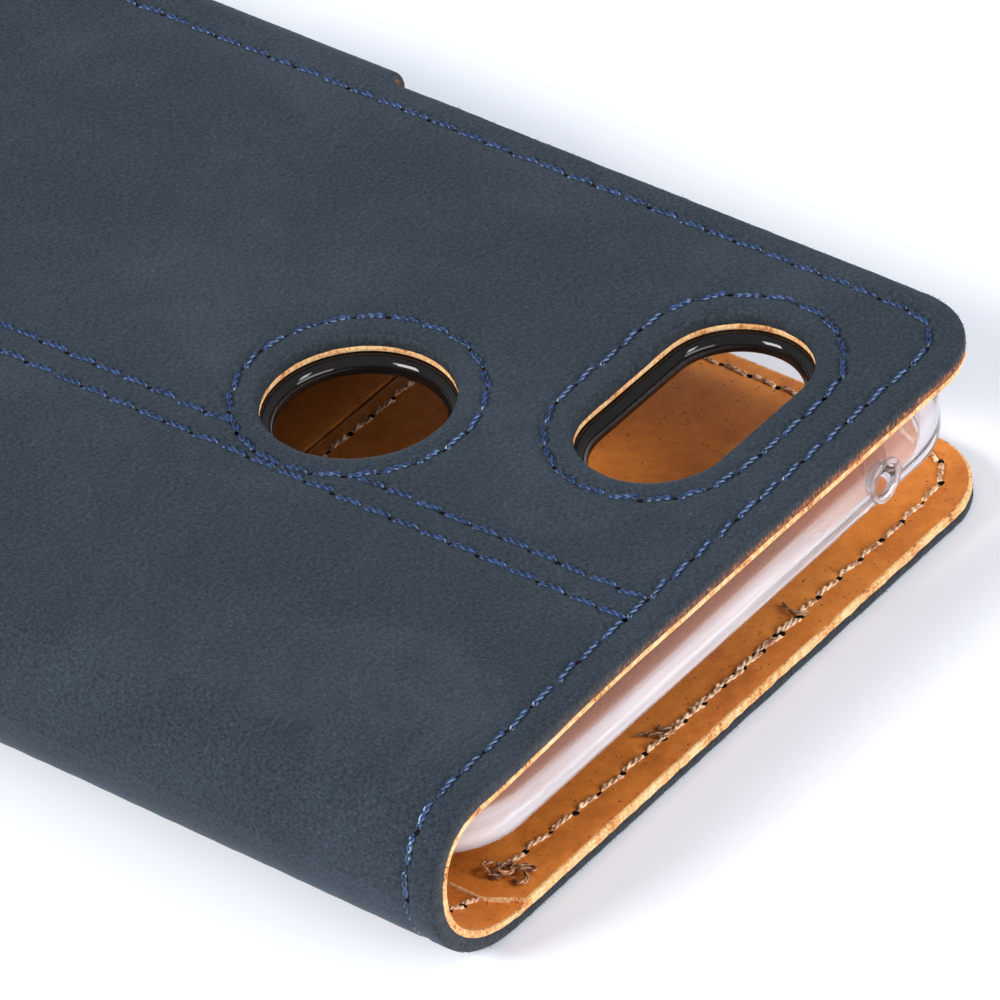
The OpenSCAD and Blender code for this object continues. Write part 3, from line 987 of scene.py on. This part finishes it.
def back_outline():
    """The back panel from the stand fold's hinge-side row to the free edge, and its two openings."""
    outline = panel(X_HINGE_ROW, X_FREE, -Y_HALF, Y_HALF, (0, CORNER_R, CORNER_R, 0), ("low_x",))
    joined = (np.abs(outline[:, 0] - X_FREE) < TINY) & (np.abs(outline[:, 1] - STRAP_Y) < STRAP_FOOT)
    outline[joined, 2:] = 0
    return [outline, round_hole(FINGER, FINGER_R), pill_hole(PILL, PILL_HALF, PILL_R)]


def spine_outline():
    return [panel(S_MIDDLE, X_HINGE_ROW, -Y_HALF, Y_HALF, seams=("low_x", "high_x"))]


def cover_outline():
    return [panel(S_COVER_FREE, S_MIDDLE, -Y_HALF, Y_HALF, (CORNER_R, 0, 0, CORNER_R), ("high_x",))]


def strap_foot_outline(s_end):
    """The strap's root, which widens into the back panel's edge in two small hollow curves."""
    low, high = STRAP_Y - STRAP_HALF, STRAP_Y + STRAP_HALF
    return [np.vstack([
        arc((X_FREE + FILLET, low - FILLET), FILLET, 180, 90, 1, FILLET_STEP),
        line((X_FREE + FILLET, low), (s_end, low), (0, 1)),
        [(s_end, low, 0, 1)],
        line((s_end, low), (s_end, high), (0, 0))[1:],
        [(s_end, high, 0, -1)],
        line((s_end, high), (X_FREE + FILLET, high), (0, -1))[1:],
        arc((X_FREE + FILLET, high + FILLET), FILLET, 270, 180, 1, FILLET_STEP),
        line((X_FREE, high + FILLET), (X_FREE, low - FILLET), (0, 0)),
    ])]


def bend_over(piece):
    """Bakes the piece's placement into its mesh."""
    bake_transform(piece)


def finish_sheet(piece, nodes, joint=None, body=None):
    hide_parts(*nodes)
    if joint:
        bend_over(piece)
    else:
        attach(piece, body)


STRAP_FALL = 11.4
STRAP_MIDDLE_S = X_FREE + STRAP_FALL
STRAP_END_S = float(STRAP.s[-1]) - 1
STRAP_SIDES = (STRAP_Y - STRAP_HALF, STRAP_Y + STRAP_HALF)
TAB_R = 9
TAB_ROW_START = STRAP_MIDDLE_S + 12
COVER_HOLES = [resample(corner_row(-S_MIDDLE, -S_COVER_FREE - EDGE_INSET, -ROW_Y, ROW_Y, ROW_R),
                        PITCH) * (-1, 1)]
SPINE_HOLES = [resample([(S_MIDDLE, side * ROW_Y), (X_HINGE_ROW, side * ROW_Y)], PITCH) for side in (-1, 1)]
BACK_ROWS = [EDGE_HOLES, *FREE_ROWS, FINGER_HOLES, PILL_HOLES]
NAVY_ROWS = [*BACK_ROWS, HINGE_ROW, *SPINE_HOLES, *COVER_HOLES]
NAVY_RELIEF = grooved(NAVY_ROWS)
TAB_HOLES = resample(corner_row(TAB_ROW_START, STRAP_END_S - EDGE_INSET, STRAP_SIDES[0] + EDGE_INSET,
                                STRAP_SIDES[1] - EDGE_INSET, TAB_R - EDGE_INSET), PITCH)
TAB_RELIEF = grooved([TAB_HOLES], 0.13, 9.0, 0.05)

WRAP_PARTS = (
    ("back", "stand_fold", ("stand_fold_hide", "back_hide"), ("stand_fold_lining", "back_lining")),
    ("spine", "spine_hinge", ("upper_bend_hide", "back_hinge_hide"),
     ("upper_bend_lining", "back_hinge_lining")),
    ("cover", "cover_hinge", ("cover_hide", "lower_bend_hide", "spine_hide"),
     ("cover_lining", "lower_bend_lining", "spine_lining")))


def make_wrap(hide, tan):
    """The hide from the cover round the spine to the free edge, and the lining that is stuck to it."""
    outlines = {"back": back_outline(), "spine": spine_outline(), "cover": cover_outline()}
    rows = beside(NAVY_ROWS)
    for i, (part, joint, hide_nodes, lining_nodes) in enumerate(WRAP_PARTS):
        loops = outlines[part]
        skin = sheet(part + "_leather", loops, WRAP.place, lambda plan: hide_depth(plan[:, 0]),
                     [leather_rim(HIDE_T)] * len(loops), hide, 2.0, rows, NAVY_RELIEF, 0.05, seed=i,
                     edge_slots=[1, 2, 2][:len(loops)], fuzz=5.0)
        finish_sheet(skin, hide_nodes, joint=joint)
        inner = sheet(part + "_lining_leather", loops, inner_face(lining_level),
                      lambda plan: lining_depth(plan[:, 0]), [thin_rim(LINING_T)] * len(loops), tan, 2.6,
                      relief=swollen(5.0 + i, 0.05), rough=0.06, skin_rings=0, seed=10 + i)
        finish_sheet(inner, lining_nodes, joint=joint)


LINING_SETBACK = 1.2


def make_strap(hide, tan):
    """The strap that rolls down past the back's free edge, and its tab, each a hide and a lining."""
    foot = strap_foot_outline(STRAP_MIDDLE_S)
    tab = [panel(STRAP_MIDDLE_S, STRAP_END_S, *STRAP_SIDES, (0, TAB_R, TAB_R, 0), ("low_x",))]
    inner_strap = [panel(X_FREE + LINING_SETBACK, STRAP_MIDDLE_S, *STRAP_SIDES, seams=("high_x",))]
    for name, loops, joint, nodes, extra, relief in (
            ("strap_leather", foot, "strap_root", ("strap_root_hide", "strap_hide"), (), swollen(9.0, 0.05)),
            ("strap_tab_leather", tab, "strap_tuck", ("strap_tuck_hide", "tab_hide"), beside([TAB_HOLES]),
             TAB_RELIEF)):
        piece = sheet(name, loops, STRAP.place, STRAP_HIDE_T, [leather_rim(STRAP_HIDE_T)], hide, 0.75, extra,
                      relief, 0.05)
        finish_sheet(piece, nodes, joint=joint)
    for name, loops, joint, nodes in (
            ("strap_lining_leather", inner_strap, "strap_root", ("strap_lining",)),
            ("strap_tab_lining_leather", tab, "strap_tuck", ("tab_lining",))):
        piece = sheet(name, loops, deeper(STRAP, STRAP_HIDE_T + LAYER_GAP), STRAP_LINING_T,
                      [thin_rim(STRAP_LINING_T)], tan, 0.9, rough=0.04, skin_rings=0)
        finish_sheet(piece, nodes, joint=joint)


CHAMFER_X, CHAMFER_Y = 2.2, 3.3
PANEL_OVERHANG = 1.2
INNER_RADII = (0, 0, 1.5, CORNER_R - 3.2)
POCKETS = (("cover_top_panel", (CORNER_R, 0, 0, 0)), ("card_pocket_1", (0, 0, 0, CORNER_R)),
           ("card_pocket_2", INNER_RADII), ("card_pocket_3", INNER_RADII))


def chamfered(loop, s1, y0):
    """The loop with its corner at (s1, y0) cut off slantwise."""
    slanted = (loop[:, 0] > s1 - CHAMFER_X) & (loop[:, 1] < y0 + CHAMFER_Y)
    cut = (s1 - CHAMFER_X) + CHAMFER_X * (loop[:, 1] - y0) / CHAMFER_Y
    loop[slanted, 0] = np.minimum(loop[slanted, 0], cut[slanted])
    return loop[np.concatenate([[True], np.linalg.norm(np.diff(loop[:, :2], axis=0), axis=1) > 0.05])]


def make_pockets(tan):
    """The cover's inner panel and its three card pockets, each open along the edge by the camera's end."""
    for index, (node, radii) in enumerate(POCKETS):
        low, high = box_mm(node)
        sewn = index < 2
        s1 = on_cover(PANEL_LOW[0] - PANEL_OVERHANG if sewn else low[0])
        loop = panel(on_cover(high[0]), s1, low[1], high[1], radii)
        if index == 0:
            loop = chamfered(loop, s1, low[1])
        extra = beside(POCKET_ROWS) if sewn else ()
        seed = 20.0 + index
        relief = grooved(POCKET_ROWS, 0.09, seed, 0.06) if sewn else swollen(seed, 0.06)
        thickness = high[2] - low[2]
        piece = sheet(node + "_leather", [loop], inner_face(high[2]), thickness - LAYER_GAP,
                      [thin_rim(thickness)], tan, 1.8, extra, relief, 0.07, 0, 30 + index,
                      edge_slots=[0 if index else 1])
        finish_sheet(piece, (node,), body="front_cover")


def cover_inner_row():
    """The inside of the cover's edge row, from the knot near the spine round both free corners."""
    knot_x = -27.0
    x1, y = X_FREE - EDGE_INSET + 1.0, ROW_Y - 0.2
    near_knot = [(knot_x, -y + 1.1), (-17.8, -y + 0.3), (-10.2, -y + 0.05)]
    outline = np.vstack([near_knot, corner_row(knot_x, x1, -y, y, ROW_R)[1:]])
    return np.column_stack([[on_cover(x) for x in outline[:, 0]], outline[:, 1]])


COVER_ROW = resample(cover_inner_row(), PITCH)
SEWN_BACK = resample([(on_cover(12.6), -73.55), (on_cover(-6.4), -73.35)], PITCH * 0.93)
ACROSS_Y = box_mm("card_pocket_1")[0][1] - 1.85
ACROSS_ROW = resample([(on_cover(X_FREE - 6), ACROSS_Y), (on_cover(PANEL_LOW[0] + 5), ACROSS_Y)], PITCH)
POCKET_ROWS = [COVER_ROW, ACROSS_ROW]
STEP_ROW = resample([(on_cover(-30.4), -ROW_Y + 1.0), (S_LOWER + 9, -ROW_Y + 1.4)], 2.4)


# the knot by the spine, and the cut ends where the row was sewn back over itself, as (x, y, height) points
THREAD_ENDS = (
    ((-28.4, -72.3, 0.0), (-27.6, -72.2, 0.5), (-26.7, -72.7, 0.7), (-26.9, -73.4, 0.5), (-27.7, -73.2, 0.7),
     (-27.7, -72.4, 0.9), (-26.9, -72.1, 0.6), (-26.2, -72.8, 0.4), (-26.4, -74.0, 0.5), (-27.0, -74.9, 0.4),
     (-27.8, -74.6, 0.3), (-27.5, -73.8, 0.2)),
    ((-27.3, -73.0, 0.3), (-26.6, -73.9, 0.7), (-25.9, -74.8, 0.5), (-25.5, -74.3, 0.3), (-26.0, -73.5, 0.4),
     (-26.9, -73.2, 0.9)),
    ((-27.9, -72.9, 0.2), (-28.3, -71.9, 0.6), (-27.9, -71.2, 0.9), (-27.3, -71.7, 0.8)),
    ((-5.4, -73.6, 0.1), (-6.3, -73.3, 0.3), (-7.0, -72.4, 0.4), (-7.6, -71.3, 0.2)),
    ((-5.2, -73.3, 0.1), (-5.9, -72.7, 0.3), (-5.6, -72.2, 0.2)),
    ((13.2, -73.9, 0.1), (12.4, -73.4, 0.3), (12.3, -72.4, 0.4), (12.9, -71.5, 0.3)))


def stitch_piece(name, rows, relief, place, looks, seed, nodes=(), joint=None, body=None, lift=0.0):
    """One piece of separate stitches, which takes the place of those nodes' plain threads."""
    made = Solid()
    add_stitches(made, rows, relief, lift, seed)
    piece = made.build(name, place, looks)
    if nodes:
        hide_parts(*nodes)
    if joint:
        bend_over(piece)
    else:
        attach(piece, body)


# each thread's (dark, light, specular tint, roughness); the two colours hold painted shade and painted
# highlight as well as its own colour
NAVY_THREAD = ((0.003, 0.006, 0.024), (0.024, 0.046, 0.145), (0.55, 0.78, 1), 0.30)
CREAM_THREAD = ((0.30, 0.12, 0.040), (0.92, 0.66, 0.44), (1, 0.9, 0.8), 0.40)
THREAD_END = ((0.10, 0.030, 0.012), (0.50, 0.24, 0.11), (1, 0.85, 0.7), 0.40)
COVER_THREAD_LIFT = -0.22


def make_navy_threads(navy):
    stitch_piece("back_stitches", BACK_ROWS, NAVY_RELIEF, WRAP.place, navy, 11,
                 ("back_edge_thread", "fingerprint_thread", "camera_thread", "stand_row_free_side"),
                 joint="stand_fold")
    stitch_piece("spine_stitches", SPINE_HOLES, NAVY_RELIEF, WRAP.place, navy, 12,
                 ("back_hinge_edge_thread",), joint="spine_hinge")
    stitch_piece("cover_stitches", COVER_HOLES, NAVY_RELIEF, WRAP.place, navy, 13,
                 ("spine_thread",), joint="cover_hinge", lift=COVER_THREAD_LIFT)
    stitch_piece("stand_row_stitches", [HINGE_ROW], NAVY_RELIEF, WRAP.place, navy, 14,
                 ("stand_row_hinge_side",), body="back_hinge_side")
    stitch_piece("tab_stitches", [TAB_HOLES], TAB_RELIEF, STRAP.place, navy, 15,
                 ("tab_thread",), body="strap_tab")


def make_cream_threads(cream):
    """The rows on the cover's inside, the cut thread ends there, and the short row by the lower crease."""
    on_panel = inner_face(PANEL_HIGH[2])
    relief = grooved(POCKET_ROWS, 0.09, 20.0, 0.06)
    stitch_piece("cover_inner_stitches", [COVER_ROW, SEWN_BACK], relief, on_panel, cream, 16,
                 ("cover_edge_thread",), body="front_cover")
    stitch_piece("pocket_stitches", [ACROSS_ROW], relief, on_panel, cream, 17,
                 ("pocket_thread",), body="front_cover")
    knots = Solid()
    for points in THREAD_ENDS:
        add_loose_thread(knots, [(on_cover(x), y, height) for x, y, height in points])
    piece = knots.build("cover_thread_ends", on_panel, (thread_material("waxed_thread_end", *THREAD_END),))
    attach(piece, "front_cover")
    stitch_piece("step_stitches", [STEP_ROW], level_face, inner_face(lining_level), cream, 18,
                 joint="cover_hinge")


# ---- the clear tray ----

TRAY_T = 1.5
TRAY_STEP = 1.1
TRAY_R = 8.0
TRAY_CENTRE_X = (TRAY_LOW[0] + TRAY_HIGH[0] - 0.4) / 2
MIC = (TRAY_CENTRE_X + 22.4, 9.5)
MIC_R = 1.5
PORT_Z = 9.9
PORT_HALF, PORT_R = 4.2, 2.2
GRILLE_X, GRILLE_PITCH, GRILLE_R, GRILLE_HOLES = 12, 3.2, 0.9, 3
CUT_REACH = 4
KEY_PADS = ((-26, -16), (-9, 11))
PAD_OUT, PAD_SOFT = 0.4, 0.5
KEYS_X = TRAY_CENTRE_X + 30


def smooth_pulse(value, low, high, soft):
    """1 between low and high, and 0 outside, with soft ends."""
    return float(np.clip(min(value - low, high - value) / soft + 0.5, 0, 1))


def wall_rim(loop):
    """The section of the tray's wall at each point of its outline, from the back's outside to its inside: a
    round shoulder, a straight wall with a raised pad over each side key, and a round lip that hooks in."""
    lip = TRAY_HIGH[2] - TRAY_LOW[2]
    rims = []
    for x, y, _, _ in loop:
        pad = max(smooth_pulse(y, *ends, PAD_SOFT) for ends in KEY_PADS) if x > KEYS_X else 0
        bulge = -PAD_OUT * pad
        rims.append([(4.6, 0.0), (3.2, 0.0), (2.2, 0.10), (1.3, 0.45), (0.62, 1.05), (0.20, 1.9), (0.03, 2.8),
                     (0.0, 3.7), (0.0, 4.4), (bulge, 4.7), (bulge, 6.6), (0.0, 6.9),
                     (0.06, lip - 1.1), (0.28, lip - 0.5), (0.68, lip - 0.12), (1.15, lip), (1.7, lip - 0.08),
                     (2.05, lip - 0.35), (1.95, lip - 0.8), (1.8, lip - 1.2),
                     (1.8, 3.1), (2.0, 2.3), (2.5, 1.8), (3.3, 1.52), (4.6, TRAY_T), (5.6, TRAY_T)])
    return np.array(rims)


def smooth_pulse(value, low, high, soft):
    """1 between low and high, and 0 outside, with soft ends."""
    return float(np.clip(min(value - low, high - value) / soft + 0.5, 0, 1))


def cutter(loop_xz, y):
    """A short prism through an end wall, round an outline of (x, z) points."""
    count = len(loop_xz)
    points = [(x, y + side * CUT_REACH, z) for side in (-1, 1) for x, z in loop_xz]
    faces = [tuple(range(count)), tuple(range(count, 2 * count))[::-1]]
    faces += [(count + i, count + (i + 1) % count, (i + 1) % count, i) for i in range(count)]
    mesh = bpy.data.meshes.new("port_cutter")
    mesh.from_pydata([tuple(c * MM for c in p) for p in points], [], faces)
    made = bpy.data.objects.new("port_cutter", mesh)
    bpy.context.collection.objects.link(made)
    return made


def cut_ports(tray):
    """The microphone hole by the camera, and the charging port with its grilles at the other end."""
    end_y = TRAY_HIGH[1]
    cuts = [(round_hole(MIC, MIC_R, 0.3), -end_y),
            (pill_hole((TRAY_CENTRE_X, PORT_Z), PORT_HALF, PORT_R), end_y)]
    for side in (-1, 1):
        for i in range(GRILLE_HOLES):
            x = TRAY_CENTRE_X + side * (GRILLE_X + GRILLE_PITCH * i)
            cuts.append((round_hole((x, PORT_Z), GRILLE_R, 0.25), end_y))
    for loop, y in cuts:
        tool = cutter([tuple(p) for p in loop[:, :2]], y)
        cut = tray.modifiers.new("port", "BOOLEAN")
        cut.operation = "DIFFERENCE"
        cut.object = tool
        cut.solver = "EXACT"
        cut_mesh = bpy.data.meshes.new_from_object(tray.evaluated_get(bpy.context.evaluated_depsgraph_get()))
        tray.modifiers.clear()
        old, tray.data = tray.data, cut_mesh
        bpy.data.meshes.remove(old)
        bpy.data.objects.remove(tool)


TRAY_BEAD = [(2.4, 0.0), (1.6, 0.0), (1.25, -0.10), (0.95, -0.12), (0.60, -0.03), (0.32, 0.18), (0.12, 0.46),
             (0.02, 0.80), (0.0, 1.10), (0.04, 1.32), (0.16, 1.46),
             (0.36, TRAY_T), (1.6, TRAY_T), (2.4, TRAY_T)]
# material slot of the painted shade and dark reflection on the beads
LIP_PAINTED_SHADE = 2


def from_tray_face(flat):
    """Places the tray's points, whose depth is measured down from its upper face."""
    return np.column_stack([flat[:, :2], TRAY_HIGH[2] - flat[:, 2]])


def make_tray(clear):
    """The moulded tub that holds the phone, with a bead round each opening in the leather, painted
    near-black: painted shade and painted dark reflection on what is clear plastic.
    """
    # the beads' material: near-black and mostly opaque, painted shade and dark reflection
    lip = tpu_material("tpu_lip_painted_shade", (0.010, 0.008, 0.008), 0.30, 0.04, 1.36)
    half_x, half_y = TRAY_CENTRE_X - TRAY_LOW[0], TRAY_HIGH[1]
    outline = panel(TRAY_CENTRE_X - half_x, TRAY_CENTRE_X + half_x, -half_y, half_y, (TRAY_R,) * 4)
    holes = [round_hole(FINGER, FINGER_R - TRAY_STEP), pill_hole(PILL, PILL_HALF, PILL_R - TRAY_STEP)]
    tray = sheet("phone_tray_shell", [outline, *holes], from_tray_face, TRAY_T,
                 [wall_rim(outline), TRAY_BEAD, TRAY_BEAD], (clear, wall_material(), lip), 5.0,
                 skin_rings=[3, 6, 6], sharp=180, edge_slots=[1, LIP_PAINTED_SHADE, LIP_PAINTED_SHADE])
    # the plate's faces close round the openings take the same painted shade
    around = np.vstack(holes)[:, :2]
    for face in tray.data.polygons:
        if face.material_index == 0 and len(face.vertices) == 4:
            x, y, _ = face.center / MM
            if nearest(np.array([[x, y]]), around)[0] < 1.5:
                face.material_index = LIP_PAINTED_SHADE
    cut_ports(tray)
    tray.data.set_sharp_from_angle(angle=math.radians(60))
    return tray


def make_microphone_rim(clear):
    """A thin ring moulded round the microphone hole."""
    around, across = 40, 10
    major, minor, flatness = 1.85, 0.32, 0.6
    face_y = -TRAY_HIGH[1] - 0.10
    z = TRAY_HIGH[2] - MIC[1]
    spots = []
    for a in np.linspace(0, 2 * math.pi, around + 1)[:-1]:
        for b in np.linspace(0, 2 * math.pi, across + 1)[:-1]:
            reach = major + minor * math.cos(b)
            spots.append((MIC[0] + reach * math.cos(a), face_y - flatness * minor * math.sin(b),
                          z - reach * math.sin(a)))
    faces = [(across * i + k, across * i + (k + 1) % across, across * ((i + 1) % around) + (k + 1) % across,
              across * ((i + 1) % around) + k) for i in range(around) for k in range(across)]
    rim = Solid()
    rim.add(np.array(spots), faces)
    piece = rim.build("microphone_rim", from_tray_face, (clear,), 180)
    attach(piece, "back_free_side")


def make_hidden():
    """The magnets and the bonding film keep their CAD shapes."""
    steel = Nodes("magnet_steel", Metallic=1.0)
    brushed = steel.noise(steel.node("ShaderNodeTexCoord").outputs["Object"], 0.0004, 3)
    steel.link(steel.ramp(brushed, (0.3, (0.45, 0.45, 0.47)), (0.7, (0.66, 0.66, 0.68))), "Base Color")
    steel.link(steel.spread(brushed, -1.0, 2.5), "Roughness")
    film = Nodes("bonding_film", Transmission_Weight=0.85, IOR=1.2)
    haze = film.noise(film.node("ShaderNodeTexCoord").outputs["Object"], 0.002, 3)
    film.link(film.ramp(haze, (0.3, (0.84, 0.70, 0.56)), (0.7, (0.92, 0.80, 0.66))), "Base Color")
    film.link(film.spread(haze, -1.0, 2.0), "Roughness")
    for node, look in (("cover_magnet", steel), ("tab_magnet", steel), ("tray_adhesive", film)):
        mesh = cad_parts[node].data
        mesh.materials.clear()
        mesh.materials.append(look.material)


make_camera()
make_lights()
make_floor()
hide = (nubuck_material(), navy_edge_material(), hole_edge_material())
tan = (tan_material(), raw_edge_material())
make_wrap(hide, tan)
make_strap(hide, tan)
make_pockets(tan)
# near-black discs at the needle holes: painted shade
painted_hole_shade = painted_hole_shade_material()
make_navy_threads((thread_material("navy_thread", *NAVY_THREAD), painted_hole_shade))
make_cream_threads((thread_material("cream_thread", *CREAM_THREAD), painted_hole_shade))
clear_tpu = tpu_material("clear_tpu", (0.96, 0.93, 0.93), 0.92, 0.03)
tray = make_tray(clear_tpu)
make_microphone_rim(clear_tpu)
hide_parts("phone_tray")
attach(tray, "back_free_side")
make_hidden()
